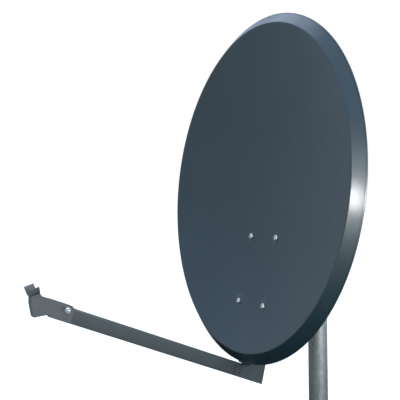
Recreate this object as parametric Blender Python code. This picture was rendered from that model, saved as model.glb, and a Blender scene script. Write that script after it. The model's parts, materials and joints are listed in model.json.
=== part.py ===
"""Offset satellite dish on a round mast: reflector, azimuth and elevation bracket, feed arm, holder.

Metres, +Z up. The origin is the centre of the mast's lower end; the dish faces -Y.
Every tilted frame below is a turn about X, with its local -Y forward and its local +Z up.
"""

import math

import bmesh
import bpy
from mathutils import Vector
from mathutils.geometry import delaunay_2d_cdt

MM = 0.001

# Clearances
GAP = 0.3 * MM            # between faces that touch
SLIP = 0.4 * MM           # between pieces that turn or slide on each other

# Reflector: an offset paraboloid cut by its rim plane
FACE_HALF_WIDTH = 397.5 * MM
FOCAL_LENGTH = 533.7 * MM
OFFSET_ANGLE = math.radians(23.6)      # beam above the rim plane's normal
BEAM_ELEVATION = math.radians(29.16)   # as set at rest
LOWEST_BEAM = math.radians(15.0)
HIGHEST_BEAM = math.radians(50.0)
SHEET = 1.2 * MM
FLANGE_REACH = 27.5 * MM
FLANGE_DEPTH = 21.7 * MM
HEM_RADIUS = 1.7 * MM
BOWL_STEP = 50.0 * MM                  # about the height between two rings of the bowl's mesh

# Bolt pattern that joins the reflector to its support
PATTERN_WIDTH = 115.5 * MM
PATTERN_HEIGHT = 178.0 * MM
PATTERN_CENTRE = -218.65 * MM          # along the rim plane, from the rim's centre
SEAT_RADIUS = 10.5 * MM
SEAT_RISE = 1.2 * MM                   # of each pressed flat seat, to either side of the sheet

# Fasteners: radii of shank, domed head, hexagon and nut flange; heights of head and nut
M6 = {"shank": 3.0 * MM, "head": 7.7 * MM, "rise": 3.6 * MM,
      "hex": 5.0 * MM, "flange": 6.5 * MM, "nut": 6.0 * MM}
M8 = {"shank": 4.0 * MM, "head": 9.2 * MM, "rise": 4.4 * MM,
      "hex": 6.5 * MM, "flange": 8.4 * MM, "nut": 8.0 * MM}
HOLE_PLAY = 0.4 * MM
THREAD_END = 4.0 * MM                  # what shows beyond a nut
WASHER = 1.6 * MM

# Mast and its clamp
MAST_RADIUS = 26.7 * MM
MAST_WALL = 2.0 * MM
MAST_ABOVE_PIVOT = 70.0 * MM
CAP_RISE = 9.0 * MM
CAP_DEPTH = 15.0 * MM
JAW_DEPTH = 12.0 * MM                  # mast surface to the bracket's web
JAW_HEIGHT = 22.0 * MM
JAW_HALF_ANGLE = math.radians(60.0)    # of the V that grips the mast
JAW_TOOTH = 1.0 * MM
EAR_THICKNESS = 6.0 * MM
CLAMP_BOLT_CLEAR = 5.1 * MM            # mast surface to a clamp bolt's shank
CLAMP_ROW_EDGE = 20.0 * MM             # bracket's top or bottom edge to a row of clamp bolts
HEAD_ROOM = 2.5 * MM                   # clamp bolt's hexagon to the bracket's cheek

# Mast bracket, from the elevation pivot
GAUGE = 2.5 * MM                       # of both folded brackets
PIVOT_HEIGHT = 490.0 * MM
PIVOT_REACH = 105.0 * MM               # mast axis to the pivot
BRACKET_TOP = 28.0 * MM
BRACKET_BELOW_LOCK = 29.0 * MM         # lock bolt's radius to the bracket's lower edge
LOCK_RADIUS = 65.0 * MM
LOCK_ANGLE = math.radians(10.0)        # from straight down, towards the mast

# Reflector support, in its own frame
PLATE_MARGINS = (12.25 * MM, 15.0 * MM)    # beyond the bolt columns and rows
PIVOT_BEHIND_PLATE = 71.0 * MM
PIVOT_ABOVE_PATTERN = 55.0 * MM
TONGUE_SIDE = 8.5 * MM                 # tongue's side to the foot's bolts
TONGUE_SHOULDER = 16.0 * MM            # height over which the plate narrows to the tongue
TONGUE_ABOVE_HEM = 8.0 * MM            # tongue's end above the hem's lowest line
TONGUE_EDGE = 10.0 * MM                # tongue's end to its lower bolt row
HEM_CLEARANCE = 2.5 * MM               # hem to the support

# Feed arm and its foot bracket
ARM_TILT = math.radians(8.1)           # above the support's own forward direction
ARM_WIDTH = 20.0 * MM
ARM_HEIGHT = 35.0 * MM
ARM_WALL = 1.5 * MM
ARM_FRONT = 535.0 * MM
ARM_REAR = 66.0 * MM
FOOT_GAUGE = 2.0 * MM
FOOT_FRONT = -18.0 * MM
FOOT_REAR = 75.5 * MM
ARM_CLEARANCE = 2.8 * MM               # hem to the arm below it
FOOT_PLATE_EDGE = 12.0 * MM            # upper bolt row to the plate's top
FOOT_NUT_CLEAR = 1.7 * MM              # foot bracket's cheek to a nut's flange
FOOT_ROW_SPACING = 44.0 * MM
ARM_SCREWS = (32.0 * MM, 56.0 * MM)    # behind the foot's reference point, along the arm
SPARE_HOLE_RADIUS = 2.0 * MM
SPARE_HOLE = (-1.4 * MM, -6.8 * MM)    # from the same point, along and above the arm's axis

# Holder at the arm's end
HOLDER_OVERLAP = 49.0 * MM             # along the arm, back from its end
HOLDER_TOP_WALL = 4.0 * MM
HOLDER_SIDE_WALL = 1.9 * MM
HOLDER_BOLT_BACK = 31.5 * MM           # from the arm's end
HOLDER_BOLT_RISE = 9.0 * MM            # above the arm's axis
HOLDER_TRAVEL = 14.5 * MM
CHIN_DROP = 28.3 * MM                  # holder's lowest corner below the arm's axis
SEAT_TILT = math.radians(38.4)         # saddle axis above the arm's backward direction
SEAT_BORE = 20.0 * MM
SEAT_WALL = 3.0 * MM
SEAT_LENGTH = 22.6 * MM
SEAT_AHEAD = 63.9 * MM                 # middle of the saddle's axis from the arm's end
SEAT_ABOVE_ARM = 34.5 * MM
NEAR_WALL_DROP = 3.5 * MM              # right wall's edge below the saddle axis

ROUND = 12                             # sides of a small round piece
ROUND_LARGE = 32
RIM_STEPS = 64


# Frames and surfaces

def turned_about_x(y, z, angle):
    """The point (y, z) of a frame that leans back by angle, in the frame it leans from."""
    return (y * math.cos(angle) + z * math.sin(angle), z * math.cos(angle) - y * math.sin(angle))


def bowl_depth(x, v):
    """How far the reflector's front lies behind the rim plane at (x, v) of that plane."""
    cosine, sine = math.cos(OFFSET_ANGLE), math.sin(OFFSET_ANGLE)
    apex = 2 * FOCAL_LENGTH * math.tan(OFFSET_ANGLE)
    square = sine ** 2
    linear = 2 * sine * (apex + v * cosine) + 4 * FOCAL_LENGTH * cosine
    constant = x ** 2 + (v * cosine) ** 2 - FACE_HALF_WIDTH ** 2
    return (math.sqrt(linear ** 2 - 4 * square * constant) - linear) / (2 * square)


FACE_HALF_HEIGHT = FACE_HALF_WIDTH / math.cos(OFFSET_ANGLE)
RIM_TILT = BEAM_ELEVATION - OFFSET_ANGLE

ROW_TOP = PATTERN_CENTRE + PATTERN_HEIGHT / 2
ROW_BOTTOM = PATTERN_CENTRE - PATTERN_HEIGHT / 2
DEPTH_TOP = bowl_depth(PATTERN_WIDTH / 2, ROW_TOP) + SHEET
DEPTH_BOTTOM = bowl_depth(PATTERN_WIDTH / 2, ROW_BOTTOM) + SHEET
SUPPORT_TILT = math.atan2(DEPTH_TOP - DEPTH_BOTTOM, PATTERN_HEIGHT)   # from the rim plane
ROW_HALF = math.hypot(DEPTH_TOP - DEPTH_BOTTOM, PATTERN_HEIGHT) / 2
SUPPORT_LEAN = RIM_TILT + SUPPORT_TILT


def rim_to_support(depth, v):
    """(y, z) in the support's frame of a point at (depth, v) behind and along the rim plane."""
    return turned_about_x(depth - (DEPTH_TOP + DEPTH_BOTTOM) / 2, v - PATTERN_CENTRE, -SUPPORT_TILT)


HEM_BACK, HEM_BOTTOM = rim_to_support(
    FLANGE_DEPTH + HEM_RADIUS, -FACE_HALF_HEIGHT - FLANGE_REACH)
SHEET_BULGE = rim_to_support(bowl_depth(0, PATTERN_CENTRE) + SHEET, PATTERN_CENTRE)[0]

PLATE_FRONT = max(HEM_BACK, SHEET_BULGE) + HEM_CLEARANCE
PLATE_BACK = PLATE_FRONT + GAUGE
PIVOT_BACK = PLATE_BACK + PIVOT_BEHIND_PLATE

FOOT_PLATE_FRONT = PLATE_BACK + GAP
FOOT_PLATE_BACK = FOOT_PLATE_FRONT + GAUGE
ARM_DROP = (HEM_BOTTOM - HEM_RADIUS - ARM_CLEARANCE + HEM_BACK * math.tan(ARM_TILT)
            - ARM_HEIGHT / 2 / math.cos(ARM_TILT))       # arm's axis at the support's y = 0
FOOT_WEB_TOP = ARM_HEIGHT / 2 + GAP + FOOT_GAUGE         # above the arm's axis
FOOT_INNER = ARM_WIDTH / 2 + GAP
FOOT_OUTER = FOOT_INNER + FOOT_GAUGE
FOOT_BOLT_X = FOOT_OUTER + FOOT_NUT_CLEAR + M6["flange"]
TONGUE_HALF_WIDTH = FOOT_BOLT_X + TONGUE_SIDE
TONGUE_BOTTOM = HEM_BOTTOM + TONGUE_ABOVE_HEM
FOOT_BOLT_TOP = TONGUE_BOTTOM + TONGUE_EDGE + FOOT_ROW_SPACING

MAST_LENGTH = PIVOT_HEIGHT + MAST_ABOVE_PIVOT
CLAMP_BOLT_X = MAST_RADIUS + CLAMP_BOLT_CLEAR + M8["shank"]
BRACKET_BOTTOM = -LOCK_RADIUS - BRACKET_BELOW_LOCK
CLAMP_ROWS = (BRACKET_BOTTOM + CLAMP_ROW_EDGE, BRACKET_TOP - CLAMP_ROW_EDGE)
BRACKET_INNER = CLAMP_BOLT_X + M8["hex"] + HEAD_ROOM
BRACKET_OUTER = BRACKET_INNER + GAUGE
CHEEK_INNER = BRACKET_OUTER + SLIP
CHEEK_OUTER = CHEEK_INNER + GAUGE
WEB_BACK = -(MAST_RADIUS + JAW_DEPTH)
WEB_FRONT = WEB_BACK - GAUGE

HOLDER_BOLT_ALONG = ARM_FRONT - HOLDER_BOLT_BACK
SEAT_ALONG = ARM_FRONT + SEAT_AHEAD

CORNERS = [(f"{row}_{hand}", side, level)
           for level, row in ((-1, "lower"), (1, "upper"))
           for side, hand in ((-1, "left"), (1, "right"))]
PATTERN = [(place, side * PATTERN_WIDTH / 2, level * ROW_HALF) for place, side, level in CORNERS]
FOOT_PATTERN = [(place, side * FOOT_BOLT_X, FOOT_BOLT_TOP + (level - 1) / 2 * FOOT_ROW_SPACING)
                for place, side, level in CORNERS]


# Outlines

def circle(centre, radius, steps=ROUND):
    """A round outline."""
    turns = [2 * math.pi * i / steps for i in range(steps)]
    return [(centre[0] + radius * math.cos(t), centre[1] + radius * math.sin(t)) for t in turns]


def rectangle(low, high):
    """A rectangular outline from its two corners."""
    return [(low[0], low[1]), (high[0], low[1]), (high[0], high[1]), (low[0], high[1])]


def square(centre, size):
    """The square hole, standing on its corner, for a coach bolt's neck."""
    return circle(centre, (size["shank"] + HOLE_PLAY) * math.sqrt(2), 4)


def arc(centre, radius, start, end, steps):
    """Points on an arc whose angles run from straight down (0) towards +y."""
    angles = [start + (end - start) * i / steps for i in range(steps + 1)]
    return [(centre[0] + radius * math.sin(a), centre[1] - radius * math.cos(a)) for a in angles]


def arc_slot(centre, radius, half_width, start, end):
    """A curved slot of that half width whose ends are half round, about the given arc."""
    outer = arc(centre, radius + half_width, start, end, 12)
    inner = arc(centre, radius - half_width, end, start, 12)
    far = arc(centre, radius, end, end, 1)[0]
    near = arc(centre, radius, start, start, 1)[0]
    far_cap = [(far[0] + half_width * math.sin(end + t), far[1] - half_width * math.cos(end + t))
               for t in (math.pi / 4, math.pi / 2, 3 * math.pi / 4)]
    near_cap = [(near[0] + half_width * math.sin(start + t), near[1] - half_width * math.cos(start + t))
                for t in (-3 * math.pi / 4, -math.pi / 2, -math.pi / 4)]
    return outer + far_cap + inner + near_cap


def rounded(points, radius, steps=3):
    """The outline with each corner replaced by an arc of that radius."""
    result = []
    count = len(points)
    for i, point in enumerate(points):
        corner = Vector(point)
        before = Vector(points[i - 1]) - corner
        after = Vector(points[(i + 1) % count]) - corner
        half = before.angle(after) / 2
        reach = min(radius / math.tan(half), before.length * 0.45, after.length * 0.45)
        start = corner + before.normalized() * reach
        end = corner + after.normalized() * reach
        for step in range(steps + 1):
            t = step / steps
            result.append(tuple((1 - t) ** 2 * start + 2 * t * (1 - t) * corner + t ** 2 * end))
    return result


# Meshes

PLANES = {
    "X": lambda u, v, w: (w, u, v),
    "Y": lambda u, v, w: (u, w, v),
    "Z": lambda u, v, w: (u, v, w),
}


def closed_mesh(bm, name):
    """The finished mesh with its faces pointing out."""
    bmesh.ops.recalc_face_normals(bm, faces=bm.faces)
    mesh = bpy.data.meshes.new(name)
    bm.to_mesh(mesh)
    bm.free()
    return mesh


def fill_triangles(loops):
    """Triangles, as point numbers, that fill an outline and leave its holes open."""
    points = [Vector(point) for loop in loops for point in loop]
    edges = []
    for loop in loops:
        first = len(edges)
        edges += [(first + i, first + (i + 1) % len(loop)) for i in range(len(loop))]
    _, _, faces, sources, _, _ = delaunay_2d_cdt(points, edges, [], 0, 1e-9)
    inside = []
    for face in faces:
        corners = [sources[i][0] for i in face]
        middle = sum((points[i] for i in corners), Vector((0, 0))) / len(corners)
        crossings = 0
        for start, end in edges:
            a, b = points[start], points[end]
            if (a.y > middle.y) != (b.y > middle.y):
                crossings += middle.x < a.x + (b.x - a.x) * (middle.y - a.y) / (b.y - a.y)
        if crossings % 2:
            inside.append(corners)
    return inside


def add_prism(bm, axis, loops, low, high):
    """Adds an outline with any holes, loops[1:], extruded along an axis from low to high."""
    place = PLANES[axis]
    levels = []
    for level in (low, high):
        levels.append([[bm.verts.new(place(u, v, level)) for u, v in loop] for loop in loops])
    for corners in fill_triangles(loops):
        for level in levels:
            verts = [vert for loop in level for vert in loop]
            bm.faces.new([verts[i] for i in corners])
    for bottom, top in zip(*levels):
        for i, vert in enumerate(bottom):
            following = (i + 1) % len(bottom)
            bm.faces.new((vert, bottom[following], top[following], top[i]))


def prism(name, axis, loops, low, high):
    """One extruded outline as a mesh."""
    bm = bmesh.new()
    add_prism(bm, axis, loops, low, high)
    return closed_mesh(bm, name)


def prisms(name, specs):
    """Several extruded outlines, which don't meet, as one mesh for a Boolean."""
    bm = bmesh.new()
    for spec in specs:
        add_prism(bm, *spec)
    return closed_mesh(bm, name)


def side_pair(loops, inner, outer):
    """The same outline to both sides of X = 0, for prisms."""
    return [("X", loops, *sorted((side * inner, side * outer))) for side in (-1, 1)]


def loft(name, rings, ring_closed=False):
    """Skins rings of points; the ends are capped, or the last ring joins the first."""
    bm = bmesh.new()
    verts = [[bm.verts.new(point) for point in ring] for ring in rings]
    pairs = list(zip(verts, verts[1:]))
    if ring_closed:
        pairs.append((verts[-1], verts[0]))
    else:
        bm.faces.new(verts[0])
        bm.faces.new(verts[-1])
    for lower, upper in pairs:
        for i, vert in enumerate(lower):
            following = (i + 1) % len(lower)
            bm.faces.new((vert, lower[following], upper[following], upper[i]))
    return closed_mesh(bm, name)


def ring_at(outline, level):
    """A flat outline as a ring of points at a height."""
    return [(u, v, level) for u, v in outline]


def turned(name, profile, steps, ring_closed=False):
    """Revolves (radius, height) points about Z."""
    return loft(name, [ring_at(circle((0, 0), r, steps), h) for r, h in profile], ring_closed)


def polygon_ring(sides, inner_radius, steps):
    """Points spread evenly by angle along a regular polygon with that inner radius."""
    points = []
    for i in range(steps):
        turn = 2 * math.pi * i / steps
        sector = 2 * math.pi / sides
        reach = inner_radius / math.cos((turn % sector) - sector / 2)
        points.append((reach * math.cos(turn), reach * math.sin(turn)))
    return points


# Fasteners, each along Z with its seat at zero

def coach_bolt(name, size, length, neck):
    """A domed head on a square neck and a round shank."""
    shank, head, rise = size["shank"], size["head"], size["rise"]
    dome = [(head * math.cos(t), rise * math.sin(t)) for t in map(math.radians, (78, 52, 26))]
    rings = [ring_at(circle((0, 0), r, ROUND), h) for r, h in dome]
    rings.append(ring_at(circle((0, 0), head, ROUND), 0.4 * MM))
    rings.append(ring_at(circle((0, 0), head, ROUND), 0))
    rings.append(ring_at(polygon_ring(4, shank, ROUND), 0))
    rings.append(ring_at(polygon_ring(4, shank, ROUND), -neck))
    rings.append(ring_at(circle((0, 0), shank * 0.98, ROUND), -neck - 0.2 * MM))
    rings.append(ring_at(circle((0, 0), shank * 0.98, ROUND), -length + 1 * MM))
    rings.append(ring_at(circle((0, 0), shank * 0.75, ROUND), -length))
    return loft(name, rings)


def hex_bolt(name, size, length):
    """A hexagon head on a round shank."""
    shank, head = size["shank"], size["hex"]
    rings = [
        ring_at(circle((0, 0), head * 0.93, ROUND), size["rise"] + 0.8 * MM),
        ring_at(polygon_ring(6, head, ROUND), size["rise"]),
        ring_at(polygon_ring(6, head, ROUND), 0),
        ring_at(circle((0, 0), shank, ROUND), 0),
        ring_at(circle((0, 0), shank, ROUND), -length + 1 * MM),
        ring_at(circle((0, 0), shank * 0.75, ROUND), -length),
    ]
    return loft(name, rings)


def flat_screw(name, size, length):
    """A flush countersunk head on a round shank."""
    shank = size["shank"]
    profile = [(shank * 1.9, 0), (shank * 1.9, -0.4 * MM), (shank, -0.4 * MM - shank * 0.9),
               (shank, -length + 1 * MM), (shank * 0.75, -length)]
    return turned(name, profile, ROUND)


def flange_nut(name, size):
    """A hexagon nut with a round flange and an open bore."""
    bore = size["shank"] + GAP
    rings = [
        ring_at(circle((0, 0), bore, ROUND), 0),
        ring_at(circle((0, 0), size["flange"], ROUND), 0),
        ring_at(circle((0, 0), size["flange"], ROUND), 1.2 * MM),
        ring_at(polygon_ring(6, size["hex"], ROUND), 1.9 * MM),
        ring_at(polygon_ring(6, size["hex"], ROUND), size["nut"]),
        ring_at(circle((0, 0), bore, ROUND), size["nut"]),
    ]
    return loft(name, rings, ring_closed=True)


def hex_nut(name, size):
    """A plain hexagon nut with an open bore."""
    bore = size["shank"] + GAP
    rings = [
        ring_at(circle((0, 0), bore, ROUND), 0),
        ring_at(polygon_ring(6, size["hex"], ROUND), 0),
        ring_at(polygon_ring(6, size["hex"], ROUND), size["nut"] - 1 * MM),
        ring_at(circle((0, 0), bore, ROUND), size["nut"] - 1 * MM),
    ]
    return loft(name, rings, ring_closed=True)


def washer(name, size, outer):
    """A flat washer."""
    bore = size["shank"] + GAP
    return prism(name, "Z", [circle((0, 0), outer), circle((0, 0), bore)], 0, WASHER)


# Objects

def material(name, colour, roughness, metallic):
    """A Principled material of one colour."""
    made = bpy.data.materials.new(name)
    made.use_nodes = True
    shader = made.node_tree.nodes["Principled BSDF"]
    shader.inputs["Base Color"].default_value = (*colour, 1)
    shader.inputs["Roughness"].default_value = roughness
    shader.inputs["Metallic"].default_value = metallic
    return made


def empty(name, parent=None, location=(0, 0, 0), lean=0.0):
    """A frame to build in: local -Y forward, leaning back by an angle."""
    frame = bpy.data.objects.new(name, None)
    bpy.context.scene.collection.objects.link(frame)
    frame.parent = parent
    frame.location = location
    frame.rotation_euler = (-lean, 0, 0)
    return frame


def solid(name, mesh, look, parent=None, location=(0, 0, 0), along=None):
    """An object for one piece; along turns its local +Z to that direction."""
    piece = bpy.data.objects.new(name, mesh)
    bpy.context.scene.collection.objects.link(piece)
    if not mesh.materials:
        mesh.materials.append(look)
        mesh.shade_smooth()
        mesh.set_sharp_from_angle(angle=math.radians(35))
    piece.parent = parent
    piece.location = location
    if along is not None:
        piece.rotation_euler = Vector((0, 0, 1)).rotation_difference(Vector(along)).to_euler()
    return piece


def combine(piece, operation, mesh, parent=None, location=(0, 0, 0)):
    """A Boolean of the piece with a hidden helper that sits in the given frame."""
    helper = bpy.data.objects.new(f"{piece.name}_{operation.lower()}_{len(piece.modifiers)}", mesh)
    bpy.context.scene.collection.objects.link(helper)
    helper.parent = parent
    helper.location = location
    helper.hide_render = True
    helper.display_type = "WIRE"
    modifier = piece.modifiers.new(operation.title(), "BOOLEAN")
    modifier.operation = operation
    modifier.object = helper


# Looks

def make_looks():
    """The materials, by name."""
    return {
        "paint": material("anthracite_paint", (0.040, 0.060, 0.075), 0.42, 0.0),
        "plastic": material("grey_plastic", (0.115, 0.140, 0.140), 0.50, 0.0),
        "galvanised": material("galvanised_steel", (0.34, 0.36, 0.355), 0.45, 0.9),
        "zinc": material("zinc_plated_steel", (0.55, 0.58, 0.60), 0.30, 1.0),
        "black": material("black_plastic", (0.020, 0.020, 0.022), 0.55, 0.0),
    }


# Mast and clamp

def build_mast(looks):
    """The tube and the cap on its top."""
    bore = MAST_RADIUS - MAST_WALL
    tube = turned("mast", [(MAST_RADIUS, 0), (MAST_RADIUS, MAST_LENGTH), (bore, MAST_LENGTH), (bore, 0)],
                  ROUND_LARGE, ring_closed=True)
    solid("mast", tube, looks["galvanised"])
    plug = bore - GAP
    brim = MAST_RADIUS + 1 * MM
    cap = turned("mast_cap", [(plug, -CAP_DEPTH), (plug, GAP), (brim, GAP), (brim, CAP_RISE * 0.5),
                              (MAST_RADIUS * 0.86, CAP_RISE * 0.85), (MAST_RADIUS * 0.45, CAP_RISE)],
                 ROUND_LARGE)
    solid("mast_cap", cap, looks["black"], location=(0, 0, MAST_LENGTH))


def jaw_notch():
    """The toothed V, from its +x end to its -x end, with its open side towards +y."""
    touch = MAST_RADIUS + GAP
    apex = -touch / math.sin(JAW_HALF_ANGLE)
    pitch = MAST_RADIUS / 8
    half = []
    for i in range(9):
        along = 3 * MM + pitch * i
        valley = JAW_TOOTH if i % 2 else 0
        half.append((along * math.sin(JAW_HALF_ANGLE) + valley * math.cos(JAW_HALF_ANGLE),
                     apex + along * math.cos(JAW_HALF_ANGLE) - valley * math.sin(JAW_HALF_ANGLE)))
    return half[::-1] + [(0, apex - JAW_TOOTH)] + [(-x, y) for x, y in half]


def build_bracket(looks, frame):
    """The folded bracket on the mast; the frame is at the elevation pivot."""
    half = BRACKET_OUTER - 0.5 * MM
    outline = rounded(rectangle((-half, BRACKET_BOTTOM), (half, BRACKET_TOP)), 4 * MM)
    bores = [circle((side * CLAMP_BOLT_X, row), M8["shank"] + HOLE_PLAY)
             for side in (-1, 1) for row in CLAMP_ROWS]
    web = prism("mast_bracket", "Y", [outline, *bores], PIVOT_REACH + WEB_FRONT, PIVOT_REACH + WEB_BACK)
    bracket = solid("mast_bracket", web, looks["galvanised"], frame)
    back = PIVOT_REACH + WEB_BACK - 0.8 * MM
    cheek = rounded([(back, BRACKET_TOP - 2 * MM), (8 * MM, 23 * MM), (-20 * MM, 15 * MM),
                     (-21 * MM, -14 * MM), (-6 * MM, -LOCK_RADIUS - 15 * MM),
                     (24 * MM, -LOCK_RADIUS - 24 * MM), (back, BRACKET_BOTTOM + 2 * MM)], 9 * MM)
    lock = arc((0, 0), LOCK_RADIUS, LOCK_ANGLE, LOCK_ANGLE, 1)[0]
    holes = [circle((0, 0), M8["shank"] + HOLE_PLAY), square(lock, M8)]
    sides = side_pair([cheek, *holes], BRACKET_INNER, BRACKET_OUTER)
    combine(bracket, "UNION", prisms("bracket_cheeks", sides), frame)


def build_jaws(looks, frame):
    """The two pairs of jaws that grip the mast, with their bolts and nuts."""
    notch = jaw_notch()
    end = notch[0][0] + 1 * MM
    front_jaw = prism("front_jaw", "Z", [[(-end, WEB_BACK + GAP), (end, WEB_BACK + GAP)] + notch],
                      -JAW_HEIGHT / 2, JAW_HEIGHT / 2)
    ear_tip = CLAMP_BOLT_X + M8["flange"] + 0.5 * MM
    ear_root = CLAMP_BOLT_X - M8["flange"] - 0.5 * MM
    ear_back = MAST_RADIUS * 0.5 + EAR_THICKNESS
    left = [(-ear_tip, EAR_THICKNESS - ear_back), (-ear_tip, -ear_back), (-ear_root, -ear_back),
            (-MAST_RADIUS * 0.55, WEB_BACK - 1 * MM)]
    strap = left + [(-x, y) for x, y in reversed(left)]
    rear_jaw = prism("rear_jaw", "Z", [strap + notch], -JAW_HEIGHT / 2, JAW_HEIGHT / 2)
    bores = prisms("jaw_bores", [
        ("Y", [circle((side * CLAMP_BOLT_X, 0), M8["shank"] + HOLE_PLAY)], -2 * ear_back, 2 * ear_back)
        for side in (-1, 1)])
    bolt = hex_bolt("clamp_bolt", M8, ear_back - WEB_FRONT + 2 * GAP + M8["nut"] + THREAD_END)
    nut = flange_nut("clamp_nut", M8)
    for row, where in zip(CLAMP_ROWS, ("lower", "upper")):
        centre = (0, PIVOT_REACH, row)
        solid(f"front_jaw_{where}", front_jaw, looks["zinc"], frame, centre)
        jaw = solid(f"rear_jaw_{where}", rear_jaw.copy(), looks["zinc"], frame, centre)
        jaw.rotation_euler = (0, 0, math.pi)
        combine(jaw, "DIFFERENCE", bores, frame, centre)
        for side, hand in ((-1, "left"), (1, "right")):
            x = side * CLAMP_BOLT_X
            solid(f"clamp_bolt_{where}_{hand}", bolt, looks["zinc"], frame,
                  (x, PIVOT_REACH + WEB_FRONT - GAP, row), (0, -1, 0))
            solid(f"clamp_nut_{where}_{hand}", nut, looks["zinc"], frame,
                  (x, PIVOT_REACH + ear_back + GAP, row), (0, 1, 0))


def build_pivots(looks, frame):
    """The pivot bolt and the two lock bolts, which stay with the mast bracket."""
    out = CHEEK_OUTER + GAP
    bolt = hex_bolt("pivot_bolt", M8, 2 * out + M8["nut"] + THREAD_END)
    nut = flange_nut("flange_nut", M8)
    solid("pivot_bolt", bolt, looks["zinc"], frame, (out, 0, 0), (1, 0, 0))
    solid("pivot_nut", nut, looks["zinc"], frame, (-out, 0, 0), (-1, 0, 0))
    y, z = arc((0, 0), LOCK_RADIUS, LOCK_ANGLE, LOCK_ANGLE, 1)[0]
    grip = out - BRACKET_INNER + WASHER + 2 * GAP
    lock = coach_bolt("lock_bolt", M8, grip + M8["nut"] + THREAD_END, GAUGE - 0.5 * MM)
    disc = washer("lock_washer", M8, M8["flange"])
    for side, hand in ((-1, "left"), (1, "right")):
        outward, inward = (side, 0, 0), (-side, 0, 0)
        solid(f"lock_bolt_{hand}", lock, looks["zinc"], frame, (side * (BRACKET_INNER - GAP), y, z), inward)
        solid(f"lock_washer_{hand}", disc, looks["zinc"], frame, (side * out, y, z), outward)
        solid(f"lock_nut_{hand}", nut, looks["zinc"], frame, (side * (out + WASHER + GAP), y, z), outward)


# Reflector and support

def rim_ring(outward, depth):
    """The rim's ellipse offset outward in its plane, at a depth behind it."""
    ring = []
    for i in range(RIM_STEPS):
        turn = 2 * math.pi * i / RIM_STEPS
        across, along = math.cos(turn), math.sin(turn)
        normal = Vector((across * FACE_HALF_HEIGHT, along * FACE_HALF_WIDTH)).normalized()
        ring.append((FACE_HALF_WIDTH * across + outward * normal.x, depth,
                     FACE_HALF_HEIGHT * along + outward * normal.y))
    return ring


def bowl_ring(share, behind):
    """A ring of the bowl at a share of the rim's size, a distance behind the front surface."""
    ring = []
    for x, _, v in rim_ring(0, 0):
        ring.append((x * share, bowl_depth(x * share, v * share) + behind, v * share))
    return ring


def reflector_mesh():
    """The pressed sheet: bowl, flange turned back all round, and a rolled hem."""
    count = math.ceil(FACE_HALF_HEIGHT / BOWL_STEP)
    shares = [(index + 0.65) / count for index in range(count)]
    lean = math.atan2(FLANGE_DEPTH, FLANGE_REACH)
    inset = Vector((-math.sin(lean), math.cos(lean))) * SHEET
    middle = Vector((FLANGE_REACH * 0.5, FLANGE_DEPTH * 0.47))
    hem = Vector((FLANGE_REACH - HEM_RADIUS, FLANGE_DEPTH))
    rings = [bowl_ring(share, 0) for share in shares]
    rings.append(rim_ring(0, 0))
    rings.append(rim_ring(middle.x, middle.y))
    for turn in map(math.radians, (-75, 0, 75, 150)):
        rings.append(rim_ring(hem.x + HEM_RADIUS * math.cos(turn), hem.y + HEM_RADIUS * math.sin(turn)))
    rings.append(rim_ring(hem.x - HEM_RADIUS - 1 * MM, hem.y - 0.2 * MM))
    rings.append(rim_ring(middle.x + inset.x, middle.y + inset.y))
    rings.append(rim_ring(inset.x * 0.2, SHEET))
    rings += [bowl_ring(share, SHEET) for share in reversed(shares)]
    return loft("reflector", rings)


def build_reflector(looks, support, rim):
    """The reflector with its four flat seats and square holes, and the bolts and nuts through them."""
    dish = solid("reflector", reflector_mesh(), looks["paint"], rim)
    face = -SHEET - SEAT_RISE
    seats = [("Y", [circle((x, z), SEAT_RADIUS, 16)], face, SEAT_RISE) for _, x, z in PATTERN]
    combine(dish, "UNION", prisms("reflector_seats", seats), support)
    holes = [("Y", [square((x, z), M6)], 3 * face, -3 * face) for _, x, z in PATTERN]
    combine(dish, "DIFFERENCE", prisms("reflector_holes", holes), support)

    head = face - GAP
    seat = PLATE_BACK + GAP
    bolt = coach_bolt("reflector_bolt", M6, seat - head + M6["nut"] + THREAD_END, 2 * SHEET)
    nut = flange_nut("reflector_nut", M6)
    for place, x, z in PATTERN:
        solid(f"reflector_bolt_{place}", bolt, looks["zinc"], support, (x, head, z), (0, -1, 0))
        solid(f"reflector_nut_{place}", nut, looks["zinc"], support, (x, seat, z), (0, 1, 0))


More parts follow.
